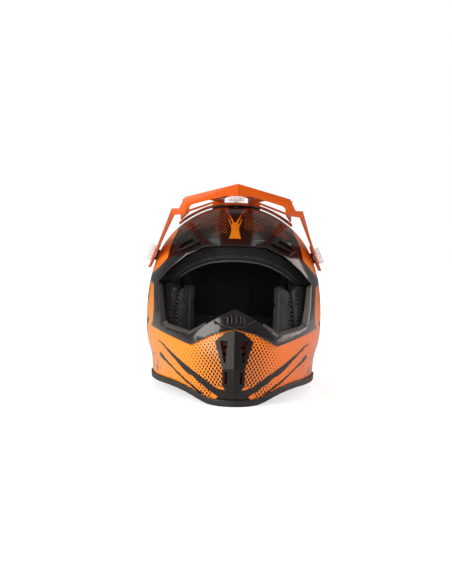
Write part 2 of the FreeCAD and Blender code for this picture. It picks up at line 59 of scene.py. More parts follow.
# ---------------------------------------------------------------- materials
class Graph:
    """A material whose nodes are written as short expressions."""

    def __init__(self, name):
        self.material = bpy.data.materials.new(name)
        self.material.use_nodes = True
        self.tree = self.material.node_tree
        self.tree.nodes.clear()
        self.coordinates = self.node("TexCoord")
        self.place = self.coordinates.outputs["Object"]

    def node(self, kind, inputs=None, **settings):
        made = self.tree.nodes.new("ShaderNode" + kind)
        for key, value in settings.items():
            setattr(made, key, value)
        for key, value in (inputs or {}).items():
            self.feed(made.inputs[key], value)
        return made

    def feed(self, socket, value):
        if isinstance(value, bpy.types.NodeSocket):
            self.tree.links.new(value, socket)
        else:
            socket.default_value = value

    def math(self, operation, *values):
        made = self.node("Math", operation=operation)
        for socket, value in zip(made.inputs, values):
            self.feed(socket, value)
        return made.outputs[0]

    def add(self, a, b):
        return self.math("ADD", a, b)

    def sub(self, a, b):
        return self.math("SUBTRACT", a, b)

    def mul(self, a, b):
        return self.math("MULTIPLY", a, b)

    def abs(self, value):
        return self.math("ABSOLUTE", value)

    def cell(self, value):
        """Distance from the middle of the cell that a counting value is in, -0.5 to 0.5."""
        return self.sub(self.math("FRACT", value), 0.5)

    def reach(self, a, b):
        """Length of the flat vector (a, b)."""
        return self.math("SQRT", self.add(self.mul(a, a), self.mul(b, b)))

    def both(self, *masks):
        result = masks[0]
        for mask in masks[1:]:
            result = self.mul(result, mask)
        return result

    def either(self, *masks):
        result = masks[0]
        for mask in masks[1:]:
            result = self.math("MAXIMUM", result, mask)
        return result

    def rise(self, value, low, high):
        """0 below low, 1 above high and smooth between; low may be the greater, for a fall."""
        return self.node("MapRange", {"Value": value, "From Min": low, "From Max": high},
                         interpolation_type="SMOOTHSTEP").outputs["Result"]

    def noise(self, scale, detail=2.0, roughness=0.5, place=None):
        return self.node("TexNoise", {"Vector": place or self.place, "Scale": scale, "Detail": detail,
                                      "Roughness": roughness}).outputs[0]

    def blend(self, factor, a, b):
        made = self.node("Mix", data_type="RGBA")
        self.feed(made.inputs[0], factor)
        self.feed(made.inputs[6], a)
        self.feed(made.inputs[7], b)
        return made.outputs[2]

    def curve(self, value, points):
        """A smooth function through points, with x and y both from 0 to 1."""
        made = self.node("FloatCurve", {"Value": value})
        line = made.mapping.curves[0]
        line.points[0].location = points[0]
        line.points[1].location = points[-1]
        for point in points[1:-1]:
            line.points.new(*point)
        made.mapping.update()
        return made.outputs[0]

    def split(self, vector):
        return self.node("SeparateXYZ", {"Vector": vector}).outputs

    def soft_edge(self, radius):
        """A normal that rounds every sharp edge by a radius in metres."""
        return self.node("Bevel", {"Radius": radius}, samples=6).outputs["Normal"]

    def bump(self, height, distance, strength, under=None):
        made = self.node("Bump", {"Height": height, "Distance": distance, "Strength": strength})
        if under is not None:
            self.feed(made.inputs["Normal"], under)
        return made.outputs["Normal"]

    def finish(self, color, roughness, normal, **sockets):
        shader = self.node("BsdfPrincipled", {"Base Color": color, "Roughness": roughness, "Normal": normal})
        for key, value in sockets.items():
            shader.inputs[key.replace("_", " ")].default_value = value
        out = self.node("OutputMaterial")
        self.tree.links.new(shader.outputs[0], out.inputs[0])
        return self.material


# ---------------------------------------------------------------- shell paint
ORANGE = (0.92, 0.235, 0.022, 1)
# The chin is painted from ORANGE_WARM on its lit left to ORANGE_RED on its shaded right.
ORANGE_WARM = (1.0, 0.315, 0.018, 1)
ORANGE_RED = (1.0, 0.21, 0.03, 1)
INK = (0.012, 0.011, 0.011, 1)
CROWN_BLACK = (0.016, 0.011, 0.010, 1)
BARE_PLASTIC = (0.02, 0.02, 0.021, 1)
HATCH_FRONT = (0.8, 0.2, 0.05, 1)
HATCH_FLANK = (0.9, 0.17, 0.025, 1)
PRONG_RED = (0.62, 0.05, 0.015, 1)

# Lower and upper edge of each painted band, as (turn, height) points: turn is 0 in front and 1 behind.
SWOOSH = (
    ((0, 0), (0.02, 5), (0.028, 10), (0.038, 14.5), (0.061, 22.5), (0.082, 29.5), (0.094, 34), (0.117, 38),
     (0.136, 44), (0.16, 51.5), (0.189, 59), (0.23, 68), (0.281, 74.5), (0.33, 79), (1, 80)),
    ((0, 22), (0.02, 22), (0.037, 24.5), (0.061, 33), (0.09, 41.3), (0.119, 48.5), (0.161, 58.3),
     (0.202, 66.5), (0.228, 71), (0.28, 74), (0.33, 78), (1, 60)))
LOWER_SWOOSH = (
    ((0, 30), (0.05, 16), (0.069, 13.4), (0.101, 20.4), (0.126, 26.4), (0.172, 37.3), (0.213, 44.2),
     (0.25, 48.5), (0.262, 50.5), (0.28, 60), (1, 90)),
    ((0, 0), (0.05, 9), (0.074, 16.8), (0.101, 24), (0.126, 30.4), (0.171, 40.6), (0.213, 49),
     (0.255, 57), (0.265, 56), (0.28, 50), (1, 50)))
REAR_FLARE = (
    ((0, 300), (0.36, 300), (0.4, 128), (0.5, 104), (0.65, 66), (0.8, 40), (1, 34)),
    ((0, 0), (0.36, 0), (0.4, 130), (0.5, 138), (0.65, 128), (0.8, 100), (1, 88)))
REAR_BLADE = (
    ((0, 300), (0.33, 300), (0.37, 97), (0.45, 84), (0.6, 30), (0.75, 12), (1, 5)),
    ((0, 0), (0.33, 0), (0.37, 98), (0.45, 94), (0.6, 50), (0.75, 30), (1, 22)))
CROWN_EDGE = ((0, 120), (0.21, 140), (0.257, 186), (0.282, 206), (0.31, 219), (0.36, 224), (0.5, 222),
              (0.62, 205), (0.75, 178), (0.88, 168), (1, 176))
EDGE_TOP = 260.0                # the band edges are curves from 0 to this height

DOTS_ACROSS = (0.234, 0.113)    # dots per mm, sideways and upwards, along one slanting row
DOTS_UPWARD = (0.184, 0.172)    # and along the other
DOT_RADIUS = 0.405              # the biggest dots, as a share of their spacing
REAR_DOT_RADIUS = 0.4
HATCH_PITCH = 3.1
HATCH_LEAN = math.radians(52)
STRIPE_X = -1.5                 # the middle stripe stands a little to one side
STRIPE_FOOT = 210.0
STRIPE_RISE = 30.0
# Half widths of the middle stripe in cm, at shares of its height
STRIPE_WAIST = ((0, 0.86), (0.11, 0.77), (0.27, 0.62), (0.46, 0.52), (0.63, 0.52), (0.73, 0.44), (0.82, 0.38),
                (1, 0.3))


class ShellPaint(Graph):
    """Orange shell with black swooshes, fading dots on the chin and a hatched black forehead."""

    def __init__(self):
        super().__init__("shell_paint")
        x, y, z = self.split(self.place)
        self.x = self.mul(x, 1000.0)
        self.side = self.abs(self.x)
        self.z = self.mul(z, 1000.0)
        self.back = self.mul(self.sub(y, AXIS_Y), 1000.0)
        self.turn = self.math("DIVIDE", self.math("ARCTAN2", self.side, self.mul(self.back, -1.0)), math.pi)
        self.ragged = self.sub(self.noise(90.0, 4.0, 0.7), 0.5)
        self.coarse = self.sub(self.noise(28.0, 3.0, 0.6), 0.5)

    def height(self, points):
        """A height in mm that follows the turn through the points."""
        return self.mul(self.curve(self.turn, [(turn, level / EDGE_TOP) for turn, level in points]), EDGE_TOP)

    def band(self, edges, rough):
        """The area between two edges, torn by rough mm, which may be a number or a mask."""
        low, high = edges
        level = self.add(self.z, self.mul(self.ragged, rough))
        over = self.rise(self.sub(level, self.height(low)), -0.35, 0.35)
        under = self.rise(self.sub(self.height(high), level), -0.35, 0.35)
        return self.both(over, under)

    def swooshes(self):
        """The long strokes of the chin and the sides, and the tip where they meet under the chin."""
        torn = self.add(2.2, self.mul(self.rise(self.turn, 0.13, 0.24), 7.0))
        chin_tip = self.both(self.rise(self.z, 22.0, 20.5),
                             self.rise(self.add(self.side, self.mul(self.z, 0.9)), 31.0, 29.5))
        return self.either(self.band(SWOOSH, torn), self.band(LOWER_SWOOSH, 4.0), self.band(REAR_FLARE, 10.0),
                           self.band(REAR_BLADE, 7.0), chin_tip)

    def specks(self):
        """Splashes low on the sides."""
        splash = self.rise(self.add(self.mul(self.coarse, 0.6), self.ragged), 0.07, 0.1)
        return self.both(splash, self.rise(self.z, 58.0, 50.0), self.rise(self.turn, 0.24, 0.29),
                         self.rise(self.turn, 0.62, 0.5))

    def dots(self):
        """Dots that shrink away from the mouth vent, and a small field of them behind the eyeport."""
        rows = self.add(self.mul(self.side, DOTS_ACROSS[0]), self.mul(self.z, DOTS_ACROSS[1]))
        ranks = self.sub(self.mul(self.side, DOTS_UPWARD[0]), self.mul(self.z, DOTS_UPWARD[1]))
        radius = self.reach(self.cell(rows), self.cell(ranks))
        low_on_chin = self.sub(1.0, self.mul(self.rise(self.z, 62.0, 98.0), 0.42))
        size = self.mul(self.rise(self.side, 84.0, 20.0), low_on_chin)
        clear_of_tip = self.either(self.rise(self.z, 24.0, 26.0), self.rise(self.side, 24.0, 30.0))
        chin = self.both(self.rise(self.sub(self.mul(size, DOT_RADIUS), radius), -0.025, 0.025),
                         self.rise(self.turn, 0.2, 0.17), self.rise(self.z, 99.0, 97.0),
                         self.rise(size, 0.04, 0.08), clear_of_tip)
        rear_size = self.rise(self.abs(self.sub(self.turn, 0.44)), 0.1, 0.02)
        rear = self.both(self.rise(self.sub(self.mul(rear_size, REAR_DOT_RADIUS), radius), -0.03, 0.03),
                         self.rise(self.z, 128.0, 132.0), self.rise(self.z, 176.0, 150.0),
                         self.rise(self.turn, 0.33, 0.35))
        return self.either(chin, rear)

    def crown(self):
        """The black area over the forehead and the crown."""
        level = self.add(self.z, self.mul(self.ragged, 2.0))
        return self.both(self.rise(self.sub(level, self.height(CROWN_EDGE)), -0.4, 0.4),
                         self.rise(self.z, 150.0, 152.0))

    def hatching(self, flank):
        """Slanting hatch lines on the crown, wider and stronger on its flanks."""
        slant = self.sub(self.mul(self.z, math.cos(HATCH_LEAN)), self.mul(self.x, math.sin(HATCH_LEAN)))
        stripe = self.abs(self.cell(self.math("DIVIDE", slant, HATCH_PITCH)))
        upward = self.math("DIVIDE", self.sub(self.z, 212.0), 60.0)
        fade = self.rise(self.add(self.mul(self.coarse, 1.6), upward), -0.25, 0.75)
        ink_width = self.add(self.add(0.09, self.mul(fade, 0.06)), self.mul(flank, 0.1))
        return self.both(self.rise(stripe, ink_width, 0.04),
                         self.rise(self.add(fade, self.mul(flank, 0.25)), 0.3, 0.75),
                         self.rise(self.side, 9.0, 12.0))

    def prong(self, foot, slope, half_width, low, high):
        """A leaning line, foot mm from the stripe's middle at the height low and moving out by slope."""
        line = self.add(foot, self.mul(self.sub(self.z, low), slope))
        off = self.abs(self.sub(self.abs(self.sub(self.x, STRIPE_X)), line))
        return self.both(self.rise(off, half_width + 0.25, half_width - 0.25),
                         self.rise(self.z, low - 1.5, low), self.rise(self.z, high + 1.0, high))

    def middle_stripe(self):
        """A waisted stripe on the forehead, with a long and a short prong on each side."""
        share = self.math("DIVIDE", self.sub(self.z, STRIPE_FOOT), STRIPE_RISE)
        half = self.mul(self.curve(share, STRIPE_WAIST), 10.0)
        stem = self.both(self.rise(self.sub(half, self.abs(self.sub(self.x, STRIPE_X))), -0.3, 0.3),
                         self.rise(self.z, 234.5, 233.7), self.rise(self.back, 20.0, 0.0))
        prongs = self.both(self.either(self.prong(1.6, 0.55, 1.3, 232.5, 262.0),
                                       self.prong(5.0, 0.36, 0.75, 228.5, 238.5)),
                           self.rise(self.back, -20.0, -30.0))
        return self.either(stem, prongs)

    def outside(self):
        """1 on the shell's outer face and 0 on its inner face."""
        middle = (0.0, AXIS_Y, 0.12)
        out = self.node("VectorMath", {0: self.place, 1: middle}, operation="SUBTRACT").outputs[0]
        facing = self.node("VectorMath", {0: out, 1: self.coordinates.outputs["Normal"]},
                           operation="DOT_PRODUCT").outputs[1]
        return self.rise(facing, 0.0, 0.01)

    def painted(self):
        """The finished material."""
        # Painted light: the chin's orange is lighter and warmer on the left, where the key light falls, and
        # redder on the shaded right, broken by a little noise.
        painted_light_across = self.rise(self.add(self.x, self.mul(self.coarse, 30.0)), -110.0, 110.0)
        chin_orange = self.blend(painted_light_across, ORANGE_WARM, ORANGE_RED)
        orange = self.blend(self.rise(self.z, 100.0, 190.0), chin_orange, ORANGE)
        color = self.blend(self.either(self.swooshes(), self.specks(), self.dots()), orange, INK)
        crown = self.crown()
        color = self.blend(crown, color, CROWN_BLACK)
        flank = self.rise(self.side, 48.0, 100.0)
        color = self.blend(self.both(crown, self.hatching(flank)), color,
                           self.blend(flank, HATCH_FRONT, HATCH_FLANK))
        mark_color = self.blend(self.rise(self.z, 236.0, 246.0), ORANGE_WARM, PRONG_RED)
        color = self.blend(self.both(crown, self.middle_stripe()), color, mark_color)
        outside = self.outside()
        color = self.blend(outside, BARE_PLASTIC, color)
        cloud = self.add(self.mul(self.noise(900.0, 2.0), 0.06), self.mul(self.noise(40.0), 0.08))
        rough = self.add(self.add(0.2, cloud), self.mul(self.sub(1.0, outside), 0.4))
        peel = self.bump(self.noise(420.0, 1.0), 0.00006, 0.5)
        return self.finish(color, rough, peel, Coat_Weight=0.15, Coat_Roughness=0.1, Specular_IOR_Level=0.35)


# ---------------------------------------------------------------- other materials
def grey(level):
    return (level, level, level, 1)


def scaled(color, factor):
    """A lighter or darker version of a colour."""
    return tuple(factor * part for part in color[:3]) + (1,)


def plastic(name, color, roughness, grain=700.0, depth=0.00004, coat=0.0, haze=0.06, edge_glint_color=grey(0.1),
            edge_glint=0.25, drift=0.35, shine=0.5, corner=0.0005):
    """Moulded plastic: fine grain, a little colour drift, rounded corners and paler edges, a painted
    highlight broken up like wear.

    grain and depth are the scale and the depth of the grain, coat and haze the weight and the roughness of
    the clear coat, edge_glint_color and edge_glint the colour and the strength of the painted edge highlight,
    drift how far the colour wanders, shine the specular level and corner the radius of the rounded corners in
    metres.
    """
    g = Graph(name)
    fine = g.noise(grain, 2.0)
    rounded = g.soft_edge(corner)
    flat = g.node("NewGeometry").outputs["True Normal"]
    turned = g.node("VectorMath", {0: rounded, 1: flat}, operation="DOT_PRODUCT").outputs[1]
    # Paler edges: a painted highlight along the sharp corners, broken up by noise like wear.
    edge = g.both(g.rise(turned, 0.985, 0.9), g.rise(g.noise(120.0, 4.0, 0.7), 0.25, 0.5))
    shaded = g.blend(g.mul(g.noise(22.0, 3.0), drift), color, scaled(color, 0.72))
    tinted = g.blend(g.mul(edge, edge_glint), shaded, edge_glint_color)
    scratch = g.noise(60.0, 6.0, 0.75)
    rough = g.add(roughness - 0.06, g.add(g.mul(scratch, 0.1), g.mul(fine, 0.05)))
    normal = g.bump(fine, depth, 0.6, under=rounded)
    return g.finish(tinted, rough, normal, Coat_Weight=coat, Coat_Roughness=haze, Specular_IOR_Level=shine)


def rubber():
    """Matt rubber with a little dust on it."""
    g = Graph("trim_rubber")
    grain = g.noise(1400.0, 3.0, 0.6)
    dust = g.rise(g.noise(35.0, 5.0, 0.7), 0.45, 0.75)
    color = g.blend(g.mul(dust, 0.3), grey(0.018), (0.06, 0.058, 0.055, 1))
    normal = g.bump(grain, 0.00008, 0.6, under=g.soft_edge(0.0016))
    return g.finish(color, g.add(0.42, g.mul(grain, 0.2)), normal)


def foam():
    """Moulded bead foam."""
    g = Graph("bead_foam")
    cells = g.node("TexVoronoi", {"Vector": g.place, "Scale": 300.0}, feature="DISTANCE_TO_EDGE").outputs[0]
    joint = g.rise(cells, 0.0, 0.12)
    color = g.blend(joint, grey(0.012), (0.035, 0.035, 0.037, 1))
    color = g.blend(g.mul(g.noise(50.0), 0.4), color, (0.05, 0.05, 0.052, 1))
    return g.finish(color, g.add(0.72, g.mul(g.noise(200.0), 0.2)), g.bump(joint, 0.0002, 0.7))


MESH_PITCH = 4.0                # air mesh: openings this far apart along a row
MESH_RISE = 2.8                 # and rows this far apart


def mesh_cloth(name, forward, rise, shade):
    """Black air-mesh fabric: rows of small openings, offset from one row to the next.

    forward and rise say how far Y counts along the rows and up them, to suit the way the pad faces;
    shade is the grey of the yarn.
    """
    g = Graph(name)
    x, y, z = g.split(g.place)
    along = g.mul(g.add(g.abs(x), g.mul(y, forward)), 1000 / MESH_PITCH)
    row = g.mul(g.add(z, g.mul(y, rise)), 1000 / MESH_RISE)
    odd = g.mul(g.math("MODULO", g.math("FLOOR", row), 2.0), 0.5)
    hole = g.rise(g.reach(g.cell(g.add(along, odd)), g.mul(g.cell(row), 0.75)), 0.44, 0.3)
    yarn = g.noise(2600.0, 2.0, 0.6)
    color = g.blend(hole, (shade, shade, 1.05 * shade, 1), (0.07 * shade, 0.07 * shade, 0.075 * shade, 1))
    faded = (1.6 * shade, 1.6 * shade, 1.7 * shade, 1)
    color = g.blend(g.mul(g.both(yarn, g.rise(g.noise(30.0), 0.4, 0.7)), 0.4), color, faded)
    height = g.add(g.mul(hole, -1.0), g.mul(yarn, 0.35))
    return g.finish(color, g.add(0.66, g.mul(yarn, 0.25)), g.bump(height, 0.0005, 0.9),
                    Sheen_Weight=0.08, Sheen_Roughness=0.5, Specular_IOR_Level=0.25)


def liner_cloth():
    """Brushed knit: a fine nap over faint ribs."""
    g = Graph("liner_cloth")
    color = (0.011, 0.011, 0.012, 1)
    x, y, _ = g.split(g.place)
    rib = g.math("SINE", g.mul(g.add(g.abs(x), y), 3800.0))
    nap = g.noise(1800.0, 4.0, 0.7)
    lint = g.rise(g.noise(500.0, 2.0), 0.66, 0.74)
    shade = g.blend(g.mul(g.noise(26.0, 3.0), 0.6), color, scaled(color, 2.0))
    shade = g.blend(g.mul(lint, 0.25), shade, grey(0.11))
    height = g.add(g.mul(rib, 0.15), nap)
    return g.finish(shade, g.add(0.78, g.mul(nap, 0.15)), g.bump(height, 0.0004, 0.8),
                    Sheen_Weight=0.1, Sheen_Roughness=0.4, Specular_IOR_Level=0.2)


def webbing():
    """Flat woven strap: chevrons of yarn across, slightly faded along the edges."""
    g = Graph("webbing")
    x, y, z = g.split(g.place)
    across = g.mul(g.sub(y, EAR_Y + STRAP_Y * MM), 1000.0)
    length = g.mul(g.add(x, z), 1000.0)
    twill = g.math("SINE", g.mul(g.add(length, g.abs(across)), 2 * math.pi / 1.6))
    ribs = g.math("SINE", g.mul(across, 2 * math.pi / 1.1))
    weave = g.add(g.mul(twill, 0.6), g.mul(ribs, 0.4))
    edge = g.rise(g.abs(across), 8.6, 9.6)
    color = g.blend(g.rise(weave, -0.8, 0.9), (0.008, 0.008, 0.009, 1), (0.035, 0.035, 0.037, 1))
    color = g.blend(g.mul(edge, 0.5), color, grey(0.07))
    rough = g.add(0.6, g.mul(g.noise(900.0), 0.2))
    return g.finish(color, rough, g.bump(weave, 0.0003, 0.8), Sheen_Weight=0.3)


def metal(name, color, roughness, direction):
    """Drawn or turned metal with fine lines across the direction that is scaled up."""
    g = Graph(name)
    stretched = g.node("Mapping", {"Vector": g.place, "Scale": direction}).outputs[0]
    lines = g.noise(60.0, 4.0, 0.7, stretched)
    tint = g.blend(g.mul(g.noise(45.0, 3.0), 0.5), color, scaled(color, 0.6))
    return g.finish(tint, g.add(roughness, g.mul(lines, 0.2)), g.bump(lines, 0.00003, 0.5), Metallic=1.0)


def clear_plastic():
    """Pale translucent plastic of the hand screws, with a faint painted glow that keeps them pale."""
    g = Graph("pale_plastic")
    cloud = g.noise(160.0, 3.0)
    color = g.blend(cloud, grey(0.97), grey(0.88))
    normal = g.bump(g.noise(700.0, 2.0), 0.00008, 0.6)
    # The emission paints a faint glow on the screws.
    return g.finish(color, g.add(0.2, g.mul(cloud, 0.2)), normal, Transmission_Weight=0.35, IOR=1.46,
                    Emission_Color=grey(1), Emission_Strength=0.12)


def cover_cloth():
    """Smooth piping cord round the pads."""
    g = Graph("piping_cloth")
    yarn = g.noise(2200.0, 2.0)
    color = g.blend(yarn, (0.045, 0.045, 0.047, 1), (0.12, 0.12, 0.125, 1))
    return g.finish(color, g.add(0.5, g.mul(yarn, 0.2)), g.bump(yarn, 0.0002, 0.6), Sheen_Weight=0.2)


def thread():
    """Twisted sewing thread."""
    g = Graph("sewing_thread")
    twist = g.noise(3500.0, 1.0)
    color = g.blend(twist, (0.06, 0.06, 0.062, 1), (0.18, 0.18, 0.185, 1))
    return g.finish(color, g.add(0.45, g.mul(twist, 0.2)), g.bump(twist, 0.0001, 0.5), Sheen_Weight=0.2)


# The paler edge colours given to the plastics below are painted edge highlights.
MATERIALS = {
    "shell_paint": ShellPaint().painted(),
    "peak_orange": plastic("peak_plastic", (0.7, 0.098, 0.004, 1), 0.34, coat=0.08, edge_glint_color=(1.0, 0.3, 0.08, 1),
                           drift=0.12, shine=0.22, corner=0.0007),
    "black_gloss": plastic("gloss_black", (0.011, 0.0095, 0.009, 1), 0.2, grain=500.0, coat=0.6, haze=0.12,
                           edge_glint_color=(0.3, 0.29, 0.28, 1), shine=0.4, corner=0.0009),
    "black_satin": plastic("satin_black", (0.012, 0.0115, 0.0115, 1), 0.4, grain=1100.0, depth=0.00008,
                           coat=0.12, edge_glint_color=grey(0.16), edge_glint=0.4, shine=0.2),
    "vent_red": plastic("vent_red", (0.06, 0.01, 0.007, 1), 0.5, edge_glint_color=(0.12, 0.04, 0.03, 1), shine=0.2),
    "black_rubber": rubber(),
    "foam_black": foam(),
    "mesh_cloth": mesh_cloth("mesh_cloth", -0.9, 0.0, 0.088),
    "liner_cloth": liner_cloth(),
    "pale_plastic": clear_plastic(),
    "insert_steel": metal("bush_steel", (0.05, 0.05, 0.053, 1), 0.35, (1, 1, 40)),
    "webbing": webbing(),
    "ring_steel": metal("ring_steel", (0.58, 0.58, 0.6, 1), 0.22, (1, 30, 1)),
}
# The frame's inner walls: its gloss black painted a lighter grey, a painted reflection on the sloping walls.
FRAME_WALL_SHEEN = plastic("frame_wall", (0.15, 0.146, 0.14, 1), 0.3, grain=500.0, coat=0.6, shine=0.4)
BROW_MESH = mesh_cloth("brow_mesh", 0.0, -0.7, 0.026)
PIPING = cover_cloth()
THREAD = thread()


def dress(obj, material):
    obj.data.materials.clear()
    obj.data.materials.append(material)


def smooth(mesh, degrees):
    """Round shading, broken where two faces meet at more than this angle."""
    mesh.polygons.foreach_set("use_smooth", [True] * len(mesh.polygons))
    mesh.set_sharp_from_angle(angle=math.radians(degrees))


EDGE_WIDTHS = {"peak": 0.7, "eyeport_frame": 0.6, "nose_guard": 0.6, "rear_exhaust": 0.5,
               "bottom_edge_trim": 0.5}
EDGE_ANGLE = 38                 # only edges sharper than this are rounded, in degrees
CAD_CREASE = 32                 # CAD faces that meet at more than this stay creased


def round_edges(node, width):
    """Small real chamfers along a hard part's sharp edges."""
    weld = node.modifiers.new("weld", "WELD")
    weld.merge_threshold = 0.01 * MM
    bevel = node.modifiers.new("edges", "BEVEL")
    bevel.width = width * MM
    bevel.segments = 2
    bevel.limit_method = "ANGLE"
    bevel.angle_limit = math.radians(EDGE_ANGLE)
    bevel.miter_outer = "MITER_ARC"
    bevel.harden_normals = True


def dress_cad():
    """Gives every CAD node the material of its slot, and chamfers to a few."""
    for part in frame["record"]["subparts"]:
        node = NODES[part["node"]]
        dress(node, MATERIALS[part["material_slot"]])
        smooth(node.data, CAD_CREASE)
        if part["node"] in EDGE_WIDTHS:
            round_edges(node, EDGE_WIDTHS[part["node"]])


# ---------------------------------------------------------------- mesh tools
def ear(x, y, z):
    """A point given in mm from the ear line."""
    return Vector((x * MM, y * MM + EAR_Y, z * MM))


def from_ear(points):
    """The same points in mm from the ear line."""
    return points / MM - np.array([0.0, EAR_Y / MM, 0.0])


def points_of(mesh):
    flat = np.empty(len(mesh.vertices) * 3)
    mesh.vertices.foreach_get("co", flat)
    return flat.reshape(-1, 3)


def normals_of(mesh):
    flat = np.empty(len(mesh.vertices) * 3)
    mesh.vertex_normals.foreach_get("vector", flat)
    return flat.reshape(-1, 3)


def move_points(mesh, points):
    mesh.vertices.foreach_set("co", points.ravel())
    mesh.update()


def bake(obj):
    """Makes the result of an object's modifiers its own mesh."""
    bpy.context.view_layer.update()
    result = bpy.data.meshes.new_from_object(obj.evaluated_get(bpy.context.evaluated_depsgraph_get()))
    obj.modifiers.clear()
    obj.data = result


def finish_piece(obj, material, body, replaced=()):
    """Gives a finished piece its material, hides the CAD nodes it stands for and hangs it on the body it
    rides on.
    """
    dress(obj, material)
    if replaced:
        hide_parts(*replaced)
    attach(obj, body)
    return obj


def mesh_from(bm, name):
    """Turns an edited mesh into a finished one and frees it."""
    mesh = bpy.data.meshes.new(name)
    bm.to_mesh(mesh)
    bm.free()
    return mesh


def object_from(name, mesh):
    obj = bpy.data.objects.new(name, mesh)
    bpy.context.scene.collection.objects.link(obj)
    return obj


def cut_mesh(node, planes=()):
    """A welded copy of a CAD node's mesh, keeping the far side of each plane and closing the cut."""
    bm = bmesh.new()
    bm.from_mesh(NODES[node].data)
    bmesh.ops.remove_doubles(bm, verts=bm.verts, dist=1e-6)
    for point, normal in planes:
        everything = bm.verts[:] + bm.edges[:] + bm.faces[:]
        bmesh.ops.bisect_plane(bm, geom=everything, plane_co=point, plane_no=normal, clear_inner=True)
        bmesh.ops.holes_fill(bm, edges=[edge for edge in bm.edges if edge.is_boundary], sides=0)
    return mesh_from(bm, node + "_cut")


def surface_of(obj):
    """A search tree of a finished mesh."""
    mesh = obj.data
    return BVHTree.FromPolygons([vertex.co for vertex in mesh.vertices],
                                [tuple(face.vertices) for face in mesh.polygons])


def laid_on(tree, path, lift):
    """A path moved to the nearest place on a surface and lifted off it."""
    laid = []
    for point in path:
        place, normal, _, _ = tree.find_nearest(point)
        laid.append(place + normal * lift * MM)
    return laid


def seen_along(tree, path, direction, lift):
    """A path moved in a direction to the first surface it meets, and lifted off it."""
    hits = [tree.ray_cast(point, Vector(direction)) for point in path]
    return [place + normal * lift * MM for place, normal, _, _ in hits if place is not None]


def seen_from_front(tree, path, lift):
    """A path moved along Y to the first surface it meets from the front, and lifted off it."""
    return seen_along(tree, [Vector((point.x, -0.5, point.z)) for point in path], (0, 1, 0), lift)


def heading(path, i):
    """The direction of a path at its point i."""
    return (path[min(i + 1, len(path) - 1)] - path[max(i - 1, 0)]).normalized()


def smooth_path(points, steps):
    """A rounded path through the points, with steps points from each to the next."""
    ends = [points[0] * 2 - points[1]] + list(points) + [points[-1] * 2 - points[-2]]
    path = []
    for a, b, c, d in zip(ends, ends[1:], ends[2:], ends[3:]):
        for i in range(steps):
            t = i / steps
            path.append(0.5 * (2 * b + (c - a) * t + (2 * a - 5 * b + 4 * c - d) * t * t
                               + (3 * b - a - 3 * c + d) * t ** 3))
    return path + [points[-1]]


def join_rings(bm, rings):
    """Quads between neighbouring rings of vertices, and a face over each end."""
    count = len(rings[0])
    for low, high in zip(rings, rings[1:]):
        for k in range(count):
            bm.faces.new((low[k], low[(k + 1) % count], high[(k + 1) % count], high[k]))
    bm.faces.new(list(reversed(rings[0])))
    bm.faces.new(rings[-1])


def tube_into(bm, path, radii, sides):
    """A round bar of changing radius along a path, with closed ends."""
    turns = [2 * math.pi * k / sides for k in range(sides)]
    rings = []
    side = None
    for i, point in enumerate(path):
        along = heading(path, i)
        side = along.orthogonal() if side is None else side - along * side.dot(along)
        side.normalize()
        other = along.cross(side)
        rings.append([bm.verts.new(point + (side * math.cos(turn) + other * math.sin(turn)) * radii[i])
                      for turn in turns])
    join_rings(bm, rings)


CORD_CREASE = 60


def piping(name, path, radius, body):
    """A covered cord sewn along a path, narrow at its ends."""
    bm = bmesh.new()
    radii = [radius * MM * (0.35 if i in (0, len(path) - 1) else 1.0) for i in range(len(path))]
    tube_into(bm, path, radii, 10)
    mesh = mesh_from(bm, name)
    smooth(mesh, CORD_CREASE)
    return finish_piece(object_from(name, mesh), PIPING, body)


def stitches(name, paths, body, length=2.6, gap=1.5, radius=0.28):
    """Rows of single stitches that follow the paths."""
    bm = bmesh.new()
    for path in paths:
        spans = [(b - a).length for a, b in zip(path, path[1:])]
        marks = np.concatenate([[0.0], np.cumsum(spans)])
        flat = np.array(path)

        def at(distance):
            return Vector([np.interp(distance, marks, flat[:, axis]) for axis in range(3)])

        start = 0.0
        while start + length * MM < marks[-1]:
            run = [at(start + length * MM * t) for t in (0.0, 0.25, 0.75, 1.0)]
            tube_into(bm, run, [radius * MM * k for k in (0.45, 1.0, 1.0, 0.45)], 6)
            start += (length + gap) * MM
    mesh = mesh_from(bm, name)
    smooth(mesh, CORD_CREASE)
    return finish_piece(object_from(name, mesh), THREAD, body)


# ---------------------------------------------------------------- eyeport frame
# Points down one side of the eyeport, seen from the front: x, z and the width of the wall there.
WALL_STATIONS = ((102.8, 151, 1.5), (102.5, 147, 4.5), (101, 120, 6), (97, 97.5, 6), (88, 93.5, 4.5),
                 (57, 89, 3.2), (36, 103, 2.2))
WALL_FRONT = 0.6                # the wall starts this far behind the frame's face,
WALL_SLOPE_END = 12.0           # slopes inwards down to here
WALL_BACK = 13.5                # and ends here
WALL_SEAT = -0.15               # its outer edge is sunk this far into the frame


def wall_rings(bm, tree, side):
    """Sections across the wall, wherever the frame is met from the front."""
    stations = [tuple(np.add(a, np.subtract(b, a) * t)) for a, b in zip(WALL_STATIONS, WALL_STATIONS[1:])
                for t in (0.0, 0.25, 0.5, 0.75)] + [WALL_STATIONS[-1]]
    rings = []
    for i, (x, z, width) in enumerate(stations):
        before, after = stations[max(i - 1, 0)], stations[min(i + 1, len(stations) - 1)]
        along = Vector((after[0] - before[0], after[1] - before[1])).normalized()
        inward = Vector((along.y, -along.x))
        probe = ear(side * (x - inward.x), -400, z - inward.y)
        place = tree.ray_cast(probe, Vector((0, 1, 0)))[0]
        if place is None:
            continue
        front = (place.y - EAR_Y) / MM
        section = ((WALL_SEAT, WALL_FRONT), (width, WALL_SLOPE_END),
                   (width, WALL_BACK), (WALL_SEAT, WALL_BACK))
        rings.append([bm.verts.new(ear(side * (x + inward.x * across), front + deep, z + inward.y * across))
                      for across, deep in section])
    return rings


